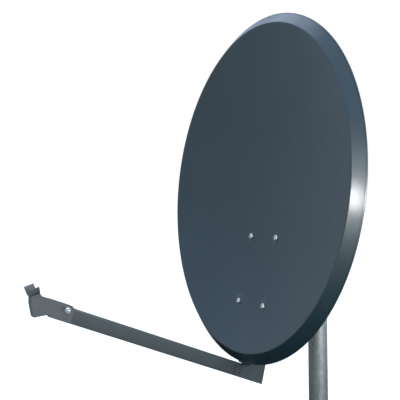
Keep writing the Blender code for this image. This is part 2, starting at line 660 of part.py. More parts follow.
def build_support(looks, frame):
    """The folded bracket behind the reflector: plate, four pads, two slotted cheeks, and a tongue."""
    side = PATTERN_WIDTH / 2 + PLATE_MARGINS[0]
    edge = ROW_HALF + PLATE_MARGINS[1]
    neck = -edge - TONGUE_SHOULDER
    right = [(TONGUE_HALF_WIDTH, TONGUE_BOTTOM), (TONGUE_HALF_WIDTH, neck), (side, -edge), (side, edge)]
    outline = rounded(right + [(-x, z) for x, z in reversed(right)], 9 * MM)
    bore = M6["shank"] + HOLE_PLAY
    bores = [circle((x, z), bore) for _, x, z in PATTERN] + [square((x, z), M6) for _, x, z in FOOT_PATTERN]
    plate = prism("back_support", "Y", [outline, *bores], PLATE_FRONT, PLATE_BACK)
    support = solid("back_support", plate, looks["galvanised"], frame)
    pads = [("Y", [circle((x, z), SEAT_RADIUS - 0.7 * MM, 16), circle((x, z), bore)],
             SEAT_RISE + GAP, PLATE_FRONT + GAUGE / 2) for _, x, z in PATTERN]

    y, z = PIVOT_BACK, PIVOT_ABOVE_PATTERN
    down = LOCK_ANGLE + SUPPORT_LEAN
    start = down - (BEAM_ELEVATION - LOWEST_BEAM)
    end = down + (HIGHEST_BEAM - BEAM_ELEVATION)
    near, far = arc((y, z), LOCK_RADIUS, start, end, 1)
    root = PLATE_FRONT + GAUGE * 0.4
    cheek = rounded([(root, edge - 22 * MM), (y - 8 * MM, z + 20 * MM), (y + 20 * MM, z + 12 * MM),
                     (far[0] + 13 * MM, far[1] + 8 * MM), (far[0] + 8 * MM, far[1] - 10 * MM),
                     (near[0] + 4 * MM, near[1] - 14 * MM), (near[0] - 16 * MM, near[1] - 13 * MM),
                     (root, 34 * MM - edge)], 9 * MM)
    holes = [circle((y, z), M8["shank"] + HOLE_PLAY),
             arc_slot((y, z), LOCK_RADIUS, M8["shank"] + SLIP, start, end)]
    cheeks = side_pair([cheek, *holes], CHEEK_INNER, CHEEK_OUTER)
    combine(support, "UNION", prisms("support_pads", pads), frame)
    combine(support, "UNION", prisms("support_cheeks", cheeks), frame)


def over_arm(y, rise):
    """The point at y of the support's frame that lies that far above the arm's axis."""
    return (y, ARM_DROP - y * math.tan(ARM_TILT) + rise / math.cos(ARM_TILT))


def build_foot(looks, frame, arm):
    """The bracket that carries the arm below the rim: plate, web over the arm, and two cheeks."""
    top = FOOT_BOLT_TOP + FOOT_PLATE_EDGE
    low = over_arm(FOOT_PLATE_BACK, FOOT_WEB_TOP - 1 * MM)[1]
    bores = [circle((x, z), M6["shank"] + HOLE_PLAY) for _, x, z in FOOT_PATTERN]
    outline = rounded(rectangle((-TONGUE_HALF_WIDTH, low), (TONGUE_HALF_WIDTH, top)), 5 * MM)
    plate = prism("foot_bracket", "Y", [outline, *bores], FOOT_PLATE_FRONT, FOOT_PLATE_BACK)
    foot = solid("foot_bracket", plate, looks["paint"], frame)

    half = ARM_HEIGHT / 2
    fold = FOOT_PLATE_FRONT + 0.8 * MM
    cheek = rounded([over_arm(FOOT_FRONT, -half), over_arm(FOOT_REAR, -half),
                     over_arm(FOOT_REAR, FOOT_WEB_TOP + 15 * MM), (FOOT_PLATE_BACK + 20 * MM, top - 22 * MM),
                     (fold, top - 3 * MM), over_arm(fold, half), over_arm(FOOT_FRONT, half)], 2.5 * MM)
    combine(foot, "UNION", prisms("foot_cheeks", side_pair([cheek], FOOT_INNER, FOOT_OUTER)), frame)
    front = FOOT_PLATE_FRONT / math.cos(ARM_TILT) - FOOT_WEB_TOP * math.tan(ARM_TILT) + 0.3 * MM
    side = FOOT_OUTER - 0.5 * MM
    holes = [circle((0, along), M6["shank"] + HOLE_PLAY) for along in ARM_SCREWS]
    web = prism("foot_web", "Z", [rectangle((-side, front), (side, ARM_REAR)), *holes],
                half + GAP, FOOT_WEB_TOP - 0.1 * MM)
    combine(foot, "UNION", web, arm)
    combine(foot, "DIFFERENCE", spare_hole(), arm)

    grip = 2 * GAP + 2 * GAUGE
    bolt = coach_bolt("foot_bolt", M6, grip + M6["nut"] + THREAD_END, GAUGE - 0.4 * MM)
    nut = flange_nut("foot_nut", M6)
    for place, x, z in FOOT_PATTERN:
        solid(f"foot_bolt_{place}", bolt, looks["zinc"], frame, (x, PLATE_FRONT - GAP, z), (0, -1, 0))
        solid(f"foot_nut_{place}", nut, looks["zinc"], frame, (x, FOOT_PLATE_BACK + GAP, z), (0, 1, 0))


# Arm and holder

def spare_hole():
    """The cutter for the small hole through the foot bracket and the arm inside it."""
    reach = 2 * FOOT_OUTER
    return prism("spare_hole", "X", [circle(SPARE_HOLE, SPARE_HOLE_RADIUS, 8)], -reach, reach)


def build_arm(looks, arm):
    """The rectangular tube, its end plug, the two screws up into the foot bracket, and their nuts."""
    half = Vector((ARM_WIDTH / 2, ARM_HEIGHT / 2))
    wall = Vector((ARM_WALL, ARM_WALL))
    outer = rounded(rectangle(-half, half), 2.2 * MM, 2)
    inner = rounded(rectangle(wall - half, half - wall), 1 * MM, 2)
    walls = prism("arm_tube", "Y", [outer, inner], -ARM_FRONT, ARM_REAR)
    tube = solid("arm_tube", walls, looks["paint"], arm)
    bore = M6["shank"] + HOLE_PLAY
    cross = prism("arm_bolt_bore", "X", [circle((-HOLDER_BOLT_ALONG, HOLDER_BOLT_RISE), bore)],
                  -ARM_WIDTH, ARM_WIDTH)
    combine(tube, "DIFFERENCE", cross, arm)
    combine(tube, "DIFFERENCE", spare_hole(), arm)
    sink = M6["shank"] * 1.9 + HOLE_PLAY
    screw_bore = turned("arm_screw_bore", [(sink, -1 * MM), (sink, GAP + 0.4 * MM),
                                           (bore, GAP + M6["shank"]), (bore, ARM_HEIGHT + 1 * MM)], ROUND)
    screw = flat_screw("arm_screw", M6, ARM_HEIGHT + FOOT_GAUGE + 2 * GAP + M6["nut"] + THREAD_END)
    nut = flange_nut("arm_nut", M6)
    for along, where in zip(ARM_SCREWS, ("front", "rear")):
        combine(tube, "DIFFERENCE", screw_bore, arm, (0, along, -half.y))
        solid(f"arm_screw_{where}", screw, looks["zinc"], arm, (0, along, -half.y + GAP), (0, 0, -1))
        solid(f"arm_nut_{where}", nut, looks["zinc"], arm, (0, along, FOOT_WEB_TOP + GAP), (0, 0, 1))

    core = half - wall - Vector((GAP, GAP))
    small = rounded(rectangle(-core, core), 1 * MM, 2)
    large = rounded(rectangle(-half, half), 1 * MM, 2)
    plug = loft("arm_plug", [ring_at(small, -4 * MM), ring_at(small, GAP),
                             ring_at(large, GAP), ring_at(large, 2.4 * MM)])
    end = solid("arm_plug", plug, looks["black"], arm, (0, ARM_REAR, 0))
    end.rotation_euler = (math.radians(-90), 0, 0)


def saddle_section():
    """The half ring that holds the receiver's neck, whose right wall is the lower one."""
    outer, inner = SEAT_BORE + SEAT_WALL, SEAT_BORE - 1 * MM
    sweep = math.asin(NEAR_WALL_DROP / outer)
    angles = [-sweep - (math.pi - sweep) * i / 14 for i in range(15)]
    section = [(outer * math.cos(a), outer * math.sin(a)) for a in angles]
    return section + [(inner * math.cos(a), inner * math.sin(a)) for a in reversed(angles)]


def holder_outline():
    """The holder's side view: a sleeve over the arm's end, a neck, and the saddle's foot."""
    top = ARM_HEIGHT / 2 + GAP + HOLDER_TOP_WALL
    floor = -ARM_HEIGHT / 2
    rear, front = HOLDER_OVERLAP - ARM_FRONT, -ARM_FRONT
    axis = Vector((math.cos(SEAT_TILT), math.sin(SEAT_TILT)))
    middle = Vector((-SEAT_ALONG, SEAT_ABOVE_ARM))
    under = Vector((axis.y, -axis.x))
    foot = middle + under * SEAT_BORE * 0.75
    heel = middle + under * (SEAT_BORE + SEAT_WALL)
    reach = axis * (SEAT_LENGTH / 2 - 1 * MM)
    return [(rear, floor), (rear - 2 * MM, ARM_HEIGHT / 2), (rear - 11 * MM, top), (front - 8 * MM, top),
            (front - 27 * MM, top - 1.3 * MM), (front - 37 * MM, top + 0.2 * MM),
            (front - 42 * MM, top + 3.5 * MM), tuple(foot + reach), tuple(foot - reach),
            tuple(heel - reach), (front - 53.5 * MM, -1.6 * MM),
            (front - 38.3 * MM, 2.6 * MM - CHIN_DROP), (front - 35.9 * MM, -CHIN_DROP),
            (front - 21 * MM, -20 * MM), (front - 6.5 * MM, -13 * MM), (front + 0.6 * MM, floor)]


def build_holder(looks, slide, arm):
    """The holder that straddles the arm's end, its saddle, and the bolt that locks it."""
    inner = ARM_WIDTH / 2 + GAP
    width = inner + HOLDER_SIDE_WALL
    body = prism("lnb_holder", "X", [holder_outline()], -width, width)
    holder = solid("lnb_holder", body, looks["plastic"], slide)
    pocket = rectangle((-ARM_FRONT - HOLDER_TRAVEL - 2 * MM, -ARM_HEIGHT),
                       (2 * HOLDER_OVERLAP - ARM_FRONT, ARM_HEIGHT / 2 + GAP))
    combine(holder, "DIFFERENCE", prism("holder_pocket", "X", [pocket], -inner, inner), slide)
    cradle = empty("saddle_frame", slide, (0, -SEAT_ALONG, SEAT_ABOVE_ARM), -SEAT_TILT)
    saddle = prism("saddle", "Y", [saddle_section()], -SEAT_LENGTH / 2, SEAT_LENGTH / 2)
    bore = prism("saddle_bore", "Y", [circle((0, 0), SEAT_BORE, 28)], -SEAT_LENGTH, SEAT_LENGTH)
    combine(holder, "UNION", saddle, cradle)
    combine(holder, "DIFFERENCE", bore, cradle)
    y, z = -HOLDER_BOLT_ALONG, HOLDER_BOLT_RISE
    slot = arc((y, z), M6["shank"] + SLIP, 0, math.pi, 8)
    slot += [(2 * y - HOLDER_TRAVEL - along, above) for along, above in slot[::-1]]
    combine(holder, "DIFFERENCE", prism("holder_slot", "X", [slot], -2 * width, 2 * width), slide)

    disc = washer("holder_washer", M6, M6["flange"] + 0.7 * MM)
    out = width + GAP
    seat = out + WASHER + GAP
    bolt = hex_bolt("holder_bolt", M6, 2 * seat + M6["nut"] + THREAD_END - 1 * MM)
    solid("holder_bolt", bolt, looks["zinc"], arm, (-seat, y, z), (-1, 0, 0))
    solid("holder_nut", hex_nut("holder_nut", M6), looks["zinc"], arm, (seat, y, z), (1, 0, 0))
    solid("holder_washer_left", disc, looks["zinc"], arm, (-out, y, z), (-1, 0, 0))
    solid("holder_washer_right", disc, looks["zinc"], arm, (out, y, z), (1, 0, 0))


def main():
    """Builds every piece from its frame outward."""
    for old in list(bpy.data.objects):
        bpy.data.objects.remove(old)
    looks = make_looks()
    build_mast(looks)
    azimuth = empty("azimuth_axis")
    elevation = empty("elevation_axis", azimuth, (0, -PIVOT_REACH, PIVOT_HEIGHT))
    build_bracket(looks, elevation)
    build_jaws(looks, elevation)
    build_pivots(looks, elevation)

    y, z = turned_about_x(-PIVOT_BACK, -PIVOT_ABOVE_PATTERN, SUPPORT_LEAN)
    support = empty("support_frame", elevation, (0, y, z), SUPPORT_LEAN)
    rim = empty("rim_frame", support, (0, *rim_to_support(0, 0)), -SUPPORT_TILT)
    arm = empty("arm_frame", support, (0, 0, ARM_DROP), ARM_TILT)
    slide = empty("holder_slide", arm)
    build_reflector(looks, support, rim)
    build_support(looks, support)
    build_foot(looks, support, arm)
    build_arm(looks, arm)
    build_holder(looks, slide, arm)


main()
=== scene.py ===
"""Looks of the satellite dish: fine meshes, materials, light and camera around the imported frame.

Metres, +Z up, the dish faces -Y. Each fine piece stands for the CAD node that it is named after.
"""

import json
import math

import bmesh
import bpy
import numpy as np
from mathutils import Matrix, Vector

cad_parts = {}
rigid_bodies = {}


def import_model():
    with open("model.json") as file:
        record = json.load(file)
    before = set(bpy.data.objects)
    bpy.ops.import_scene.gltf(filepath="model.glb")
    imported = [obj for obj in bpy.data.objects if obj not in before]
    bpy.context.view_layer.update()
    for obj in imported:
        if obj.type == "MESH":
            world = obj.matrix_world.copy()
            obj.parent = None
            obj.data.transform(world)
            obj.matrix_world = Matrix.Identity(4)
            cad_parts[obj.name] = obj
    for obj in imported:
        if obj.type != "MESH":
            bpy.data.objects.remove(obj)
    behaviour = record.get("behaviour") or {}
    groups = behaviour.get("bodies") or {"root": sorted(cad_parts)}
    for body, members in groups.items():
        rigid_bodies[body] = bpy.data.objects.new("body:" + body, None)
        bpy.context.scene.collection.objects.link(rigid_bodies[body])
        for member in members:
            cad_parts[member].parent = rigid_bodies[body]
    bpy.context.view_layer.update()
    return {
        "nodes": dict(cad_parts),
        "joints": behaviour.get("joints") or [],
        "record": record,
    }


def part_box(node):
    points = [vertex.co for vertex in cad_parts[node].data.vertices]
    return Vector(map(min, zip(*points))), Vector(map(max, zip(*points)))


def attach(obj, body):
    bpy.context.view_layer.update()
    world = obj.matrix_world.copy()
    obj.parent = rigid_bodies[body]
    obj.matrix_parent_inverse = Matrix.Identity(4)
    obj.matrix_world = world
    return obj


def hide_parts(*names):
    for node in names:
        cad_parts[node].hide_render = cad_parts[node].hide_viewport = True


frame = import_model()

MM = 0.001
X = Vector((1, 0, 0))
Y = Vector((0, 1, 0))
Z = Vector((0, 0, 1))

# The design's own values, as part.py has them
FACE_HALF_WIDTH = 397.5 * MM
FOCAL_LENGTH = 533.7 * MM
OFFSET_ANGLE = math.radians(23.6)
BEAM_ELEVATION = math.radians(29.16)
SHEET = 1.2 * MM
FLANGE_REACH = 27.5 * MM
FLANGE_DEPTH = 21.7 * MM
HEM_RADIUS = 1.7 * MM
SEAT_RADIUS = 10.5 * MM
SEAT_RISE = 1.2 * MM
GAP = 0.3 * MM
HOLE_PLAY = 0.4 * MM
M6 = {"shank": 3.0 * MM, "head": 7.7 * MM, "rise": 3.6 * MM, "hex": 5.0 * MM, "flange": 6.5 * MM,
      "nut": 6.0 * MM, "pitch": 1.0 * MM}
M8 = {"shank": 4.0 * MM, "head": 9.2 * MM, "rise": 4.4 * MM, "hex": 6.5 * MM, "flange": 8.4 * MM,
      "nut": 8.0 * MM, "pitch": 1.25 * MM}
MAST_WALL = 2.0 * MM

# How finely the round shapes are made
RIM_STEPS = 240
BOWL_RINGS = 31
SEAT_CUTS = 5
FASTENER_STEPS = 48
MAST_STEPS = 96
THREAD_RINGS = 6                       # for each turn

# Details that only the fine meshes have
FLANGE_BOW = 0.15 * MM                 # of the flange's section, outward
FLANGE_STATIONS = (0.06, 0.11, 0.20, 0.35, 0.50, 0.65, 0.78, 0.885)   # shares of its length
GROOVE_STATIONS = (0.90, 0.915)
GROOVE_DEPTH = 0.55 * MM               # between the flange and the folded lip
CREST = 0.994                          # share of the bowl where the rim's rounded crest begins
CREST_STEPS = 6
BACK_CREST_STEPS = 5
LIP_SWEEP = range(140, -161, -12)      # degrees round the folded lip
SEAT_BLEND = 1.7                       # pressed seat's outer radius over its flat's
SEAT_REACH = 26 * MM                   # from a bolt's axis, where the mesh is finer
THREAD_CREST = 0.98                    # thread's outer radius over the shank's
THREAD_DEPTH = 0.56                    # over the pitch
NECK = 2.2 * MM                        # of a coach bolt, square
SOCKET_DEPTH = 1.8 * MM
CAP_SKIRT = 4.8 * MM                   # mast cap's straight side
CAP_START = math.radians(20)           # of its dome


# Places, from the frame

def node_points(name):
    """The CAD node's vertices as an array."""
    return np.array([vert.co for vert in frame["nodes"][name].data.vertices])


def middle(name):
    """The centre of a CAD node's box."""
    low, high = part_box(name)
    return (low + high) / 2


def axes(up):
    """The matrix of a frame with that local Z whose local X stays level."""
    side = X if abs(up.x) < 0.5 else Y
    across = up.cross(side).normalized()
    side = across.cross(up)
    return Matrix((side, across, up)).transposed().to_4x4()


def placed(name, up):
    """The frame at a node's low end along a direction, centred across it, and its length along it."""
    turn = axes(up)
    local = node_points(name) @ np.array(turn.to_3x3())
    low, high = local.min(0), local.max(0)
    centre = Vector(((low[0] + high[0]) / 2, (low[1] + high[1]) / 2, low[2]))
    return Matrix.Translation(turn @ centre) @ turn, high[2] - low[2]


BODY_OF = {node: body for body, nodes in frame["record"]["behaviour"]["bodies"].items() for node in nodes}
JOINTS = {joint["name"]: joint for joint in frame["joints"]}

SUPPORT_UP = (middle("reflector_bolt_upper_left") - middle("reflector_bolt_lower_left")).normalized()
SUPPORT_BACK = SUPPORT_UP.cross(X)
ARM_BACK = Vector(JOINTS["focus_slide"]["axis"]).normalized()
ARM_UP = X.cross(ARM_BACK)

RIM_LEAN = BEAM_ELEVATION - OFFSET_ANGLE
FACE_HALF_HEIGHT = FACE_HALF_WIDTH / math.cos(OFFSET_ANGLE)
REFLECTOR_LOW, REFLECTOR_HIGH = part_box("reflector")
RIM_CENTRE = Vector((0, REFLECTOR_LOW.y + FACE_HALF_HEIGHT * math.sin(RIM_LEAN),
                     (REFLECTOR_LOW.z + REFLECTOR_HIGH.z) / 2 + FLANGE_DEPTH * math.sin(RIM_LEAN)))
RIM_FRAME = Matrix.Translation(RIM_CENTRE) @ Matrix.Rotation(-RIM_LEAN, 4, "X")


# Meshes

def mesh_object(name, bm):
    """A smooth-shaded object whose sharp edges follow its angles."""
    bmesh.ops.recalc_face_normals(bm, faces=bm.faces)
    mesh = bpy.data.meshes.new(name)
    bm.to_mesh(mesh)
    bm.free()
    mesh.shade_smooth()
    mesh.set_sharp_from_angle(angle=math.radians(32))
    piece = bpy.data.objects.new(name, mesh)
    bpy.context.scene.collection.objects.link(piece)
    return piece


def skin(bm, rings, closed=False):
    """Joins rings of points in turn; caps the ends, or joins the last ring to the first."""
    verts = [[bm.verts.new(point) for point in ring] for ring in rings]
    pairs = list(zip(verts, verts[1:]))
    if closed:
        pairs.append((verts[-1], verts[0]))
    else:
        bm.faces.new(verts[0])
        bm.faces.new(verts[-1])
    for lower, upper in pairs:
        for i, vert in enumerate(lower):
            following = (i + 1) % len(lower)
            bm.faces.new((vert, lower[following], upper[following], upper[i]))
    return verts


def polar_ring(height, reach, steps):
    """A level ring; reach is a radius or a function of the angle."""
    ring = []
    for i in range(steps):
        turn = 2 * math.pi * i / steps
        radius = reach(turn) if callable(reach) else reach
        ring.append((radius * math.cos(turn), radius * math.sin(turn), height))
    return ring


def polygon(sides, inner):
    """The reach of a regular polygon with that inner radius, as a function of the angle."""
    sector = 2 * math.pi / sides
    return lambda turn: inner / math.cos((turn % sector) - sector / 2)


def smallest(*reaches):
    """The nearest of several reaches."""
    return lambda turn: min(reach(turn) if callable(reach) else reach for reach in reaches)


def largest(*reaches):
    """The farthest of several reaches."""
    return lambda turn: max(reach(turn) if callable(reach) else reach for reach in reaches)


def apply_modifiers(piece):
    """The piece with its modifiers made part of its mesh."""
    graph = bpy.context.evaluated_depsgraph_get()
    graph.update()
    mesh = bpy.data.meshes.new_from_object(piece.evaluated_get(graph))
    piece.modifiers.clear()
    piece.data = mesh
    return piece


def finish_piece(piece, node, look):
    """Gives a fine piece its look, its body and its material slot, and hides the CAD node."""
    piece.data.materials.clear()
    piece.data.materials.append(look)
    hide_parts(node)
    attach(piece, BODY_OF[node])
    return piece


# Reflector

def bowl_depth(x, v):
    """How far the reflector's front lies behind the rim plane."""
    cosine, sine = math.cos(OFFSET_ANGLE), math.sin(OFFSET_ANGLE)
    apex = 2 * FOCAL_LENGTH * math.tan(OFFSET_ANGLE)
    square = sine ** 2
    linear = 2 * sine * (apex + v * cosine) + 4 * FOCAL_LENGTH * cosine
    constant = x ** 2 + (v * cosine) ** 2 - FACE_HALF_WIDTH ** 2
    return (math.sqrt(linear ** 2 - 4 * square * constant) - linear) / (2 * square)


def rim_section():
    """The edge's section, from the crest of the rim to the back of the folded lip: (outward, depth)."""
    along = Vector((FLANGE_REACH, FLANGE_DEPTH)).normalized()
    out = Vector((along.y, -along.x))
    length = math.hypot(FLANGE_REACH, FLANGE_DEPTH)
    front = [along * length * share + out * FLANGE_BOW * math.sin(math.pi * share)
             for share in FLANGE_STATIONS]
    back = [point - out * SHEET for point in reversed(front)]
    hem = Vector((FLANGE_REACH - HEM_RADIUS, FLANGE_DEPTH))
    flush = -hem.dot(out)
    groove = [along * length * share - out * GROOVE_DEPTH for share in GROOVE_STATIONS]
    lip = []
    for degrees in LIP_SWEEP:
        turn = math.radians(degrees)
        level = min(HEM_RADIUS * math.sin(turn), flush)
        lip.append(hem + along * HEM_RADIUS * math.cos(turn) + out * level)
    return [tuple(point) for point in front + groove + lip + back]


def rim_ring(outward, depth):
    """The rim's ellipse offset outward in its plane, at a depth behind it."""
    ring = []
    for i in range(RIM_STEPS):
        turn = 2 * math.pi * i / RIM_STEPS
        normal = Vector((math.cos(turn) * FACE_HALF_HEIGHT, math.sin(turn) * FACE_HALF_WIDTH)).normalized()
        ring.append(Vector((FACE_HALF_WIDTH * math.cos(turn) + outward * normal.x, depth,
                            FACE_HALF_HEIGHT * math.sin(turn) + outward * normal.y)))
    return ring


def bowl_ring(share, behind):
    """A ring of the bowl at a share of the rim's size, behind the front surface."""
    return [Vector((p.x * share, bowl_depth(p.x * share, p.z * share) + behind, p.z * share))
            for p in rim_ring(0, 0)]


def blended(start, corner, end, steps):
    """Rings that round the corner between two rings."""
    rings = []
    for step in range(steps + 1):
        t = step / steps
        rings.append([(1 - t) ** 2 * a + 2 * t * (1 - t) * b + t ** 2 * c
                      for a, b, c in zip(start, corner, end)])
    return rings


def reflector_seats():
    """The centre of each pressed bolt seat on the support's zero plane."""
    seats = []
    for row in ("lower", "upper"):
        for hand in ("left", "right"):
            place, _ = placed(f"reflector_bolt_{row}_{hand}", -SUPPORT_BACK)
            seats.append(place.translation)
    head = placed("reflector_bolt_lower_left", -SUPPORT_BACK)[1] - M6["rise"]
    return [tip - SUPPORT_BACK * (head - SHEET - SEAT_RISE - GAP) for tip in seats]


def build_reflector(look):
    """The pressed sheet with rounded crest, flange, rolled hem, four flat seats and their square holes."""
    section = rim_section()
    shares = [0.03 + 0.95 * i / (BOWL_RINGS - 1) for i in range(BOWL_RINGS)]
    front = [bowl_ring(share, 0) for share in shares]
    front += blended(bowl_ring(CREST, 0), rim_ring(0, 0), rim_ring(*section[0]),
                     CREST_STEPS)
    edge = [rim_ring(outward, depth) for outward, depth in section[1:-1]]
    back = blended(rim_ring(*section[-1]), rim_ring(-0.2 * SHEET, SHEET),
                   bowl_ring(CREST - 0.004, SHEET), BACK_CREST_STEPS)
    back += [bowl_ring(share, SHEET) for share in reversed(shares)]
    bm = bmesh.new()
    skin(bm, front + edge + back)
    bm.transform(RIM_FRAME)

    seats = reflector_seats()
    blend_radius = SEAT_RADIUS * SEAT_BLEND

    def from_axis(point, seat):
        """How far a point lies from the seat's bolt axis."""
        offset = point - seat
        return (offset - SUPPORT_BACK * offset.dot(SUPPORT_BACK)).length

    near = [edge for edge in bm.edges
            if min(from_axis((edge.verts[0].co + edge.verts[1].co) / 2, seat) for seat in seats) < SEAT_REACH]
    bmesh.ops.subdivide_edges(bm, edges=near, cuts=SEAT_CUTS, use_grid_fill=True)
    to_rim = RIM_FRAME.inverted()
    for vert in bm.verts:
        seat = min(seats, key=lambda centre: from_axis(vert.co, centre))
        away = from_axis(vert.co, seat)
        if away > SEAT_REACH + 6 * MM:
            continue
        local = to_rim @ vert.co
        surface = bowl_depth(local.x, local.z)
        behind = local.y - surface > SHEET / 2
        vert.co = RIM_FRAME @ Vector((local.x, surface + behind * SHEET, local.z))
        share = min(1, max(0, (blend_radius - away) / (blend_radius - SEAT_RADIUS)))
        share = share * share * (3 - 2 * share)
        level = (vert.co - seat).dot(SUPPORT_BACK)
        flat = SEAT_RISE if behind else -SHEET - SEAT_RISE
        vert.co += SUPPORT_BACK * (flat - level) * share
    piece = mesh_object("reflector_fine", bm)
    cutters = bmesh.new()
    for seat in seats:
        corner = polar_ring(-20 * MM, (M6["shank"] + HOLE_PLAY) * math.sqrt(2), 4)
        turn = axes(SUPPORT_BACK)
        turn.translation = seat
        low = [turn @ Vector(point) for point in corner]
        high = [turn @ (Vector(point) + Vector((0, 0, 40 * MM))) for point in corner]
        skin(cutters, [low, high])
    cutter = mesh_object("reflector_hole_cutter", cutters)
    holes = piece.modifiers.new("holes", "BOOLEAN")
    holes.operation = "DIFFERENCE"
    holes.object = cutter
    apply_modifiers(piece)
    bpy.data.objects.remove(cutter)
    finish_piece(piece, "reflector", look)


# Fasteners, built along Z from the shank's tip

def threaded(size, low, high, crest):
    """Rings of a thread whose crest has that radius."""
    rings = []
    count = round((high - low) / size["pitch"] * THREAD_RINGS)
    for i in range(count + 1):
        height = low + (high - low) * i / count
        fade = min(1, (high - height) / size["pitch"], 0.3 + (height - low) / size["pitch"])

        def reach(turn, height=height, fade=fade):
            """The thread's radius at that angle."""
            phase = 2 * math.pi * height / size["pitch"] - turn
            return crest - THREAD_DEPTH / 2 * size["pitch"] * fade * (1 - math.cos(phase))
        rings.append(polar_ring(height, reach, FASTENER_STEPS))
    return rings


def shank_rings(size, length, threads):
    """The chamfered tip, the thread and the plain shank up to a length."""
    crest = size["shank"] * THREAD_CREST
    tip = [polar_ring(0, crest * 0.72, FASTENER_STEPS),
           polar_ring(0.02 * size["shank"], crest * 0.78, FASTENER_STEPS)]
    thread = threaded(size, 0.25 * size["shank"], threads, crest)
    return tip + thread + [polar_ring(length, crest, FASTENER_STEPS)]


def coach_bolt(size, length):
    """A domed head on a square neck."""
    head, rise, crest = size["head"], size["rise"], size["shank"] * THREAD_CREST
    under = length - rise
    rings = shank_rings(size, under - NECK - 0.4 * MM, under - NECK - 2 * MM)
    rings.append(polar_ring(under - NECK, polygon(4, crest), FASTENER_STEPS))
    rings.append(polar_ring(under, polygon(4, crest), FASTENER_STEPS))
    rings.append(polar_ring(under, head - 0.3 * MM, FASTENER_STEPS))
    rings.append(polar_ring(under + 0.25 * MM, head, FASTENER_STEPS))
    for degrees in range(8, 90, 8):
        turn = math.radians(degrees)
        height = under + 0.4 * MM + (rise - 0.4 * MM) * math.sin(turn)
        rings.append(polar_ring(height, head * math.cos(turn), FASTENER_STEPS))
    return rings


def hex_bolt(size, length):
    """A chamfered hexagon head with a washer face under it."""
    crest, hexagon = size["shank"] * THREAD_CREST, polygon(6, size["hex"])
    rise = size["rise"] + 0.8 * MM
    under = length - rise
    corner = size["hex"] / math.cos(math.pi / 6)
    rings = shank_rings(size, under - 0.3 * MM, under * 0.72)
    rings.append(polar_ring(under, crest + 0.3 * MM, FASTENER_STEPS))
    rings.append(polar_ring(under, size["hex"] * 0.95, FASTENER_STEPS))
    rings.append(polar_ring(under + 0.4 * MM, size["hex"] * 0.97, FASTENER_STEPS))
    rings.append(polar_ring(under + 0.45 * MM, hexagon, FASTENER_STEPS))
    for i in range(5):
        share = i / 4
        height = length - 1.1 * MM * (1 - share) - 0.2 * MM
        cone = corner + (size["hex"] * 0.97 - corner) * share
        rings.append(polar_ring(height, smallest(hexagon, cone), FASTENER_STEPS))
    rings.append(polar_ring(length, size["hex"] * 0.86, FASTENER_STEPS))
    rings.append(polar_ring(length - 0.3 * MM, size["hex"] * 0.72, FASTENER_STEPS))
    return rings


def flat_screw(size, length):
    """A countersunk head with a hexagon socket."""
    head = size["shank"] * 1.9
    flare = size["shank"] * 0.9
    rings = shank_rings(size, length - flare - 0.5 * MM, length * 0.75)
    rings.append(polar_ring(length - 0.4 * MM, head, FASTENER_STEPS))
    rings.append(polar_ring(length - 0.1 * MM, head, FASTENER_STEPS))
    rings.append(polar_ring(length, head - 0.1 * MM, FASTENER_STEPS))
    socket = size["shank"] * 0.66
    rings.append(polar_ring(length, polygon(6, socket), FASTENER_STEPS))
    rings.append(polar_ring(length - SOCKET_DEPTH, polygon(6, socket), FASTENER_STEPS))
    return rings


def nut_top(size, hexagon, low, high):
    """The hexagon's walls up to its chamfered top, and the countersunk start of the bore."""
    corner = size["hex"] / math.cos(math.pi / 6)
    bore = size["shank"] + GAP
    rings = [polar_ring(low, hexagon, FASTENER_STEPS)]
    for i in range(5):
        share = i / 4
        cone = corner + (size["hex"] * 0.96 - corner) * share
        rings.append(polar_ring(high - 0.9 * MM * (1 - share), smallest(hexagon, cone), FASTENER_STEPS))
    rings.append(polar_ring(high, bore + 0.6 * MM, FASTENER_STEPS))
    rings.append(polar_ring(high - 0.6 * MM, bore, FASTENER_STEPS))
    return rings


def flange_nut(size, length):
    """A hexagon nut that flares into a round flange."""
    hexagon = polygon(6, size["hex"])
    flange = size["flange"]
    bore = size["shank"] + GAP
    rings = [polar_ring(0.5 * MM, bore, FASTENER_STEPS), polar_ring(0, bore + 0.5 * MM, FASTENER_STEPS),
             polar_ring(0, flange - 0.3 * MM, FASTENER_STEPS), polar_ring(0.3 * MM, flange, FASTENER_STEPS),
             polar_ring(0.9 * MM, flange, FASTENER_STEPS)]
    for i in range(1, 6):
        share = i / 5
        cone = flange + (size["hex"] - flange) * share
        rings.append(polar_ring(1.1 * MM + 1.6 * MM * share, largest(hexagon, cone), FASTENER_STEPS))
    return rings + nut_top(size, hexagon, 2.9 * MM, length)


def hex_nut(size, length):
    """A plain hexagon nut."""
    hexagon = polygon(6, size["hex"])
    bore = size["shank"] + GAP
    rings = [polar_ring(0.5 * MM, bore, FASTENER_STEPS), polar_ring(0, bore + 0.5 * MM, FASTENER_STEPS),
             polar_ring(0, size["hex"] * 0.96, FASTENER_STEPS),
             polar_ring(0.7 * MM, hexagon, FASTENER_STEPS)]
    return rings + nut_top(size, hexagon, 0.8 * MM, length)


def washer(size, length):
    """A flat washer with slightly rounded rims."""
    outer = size["washer"]
    bore = size["shank"] + GAP
    soft = 0.2 * MM
    return [polar_ring(h, r, FASTENER_STEPS) for r, h in (
        (bore, soft), (bore + soft, 0), (outer - soft, 0), (outer, soft),
        (outer, length - soft), (outer - soft, length), (bore + soft, length), (bore, length - soft))]


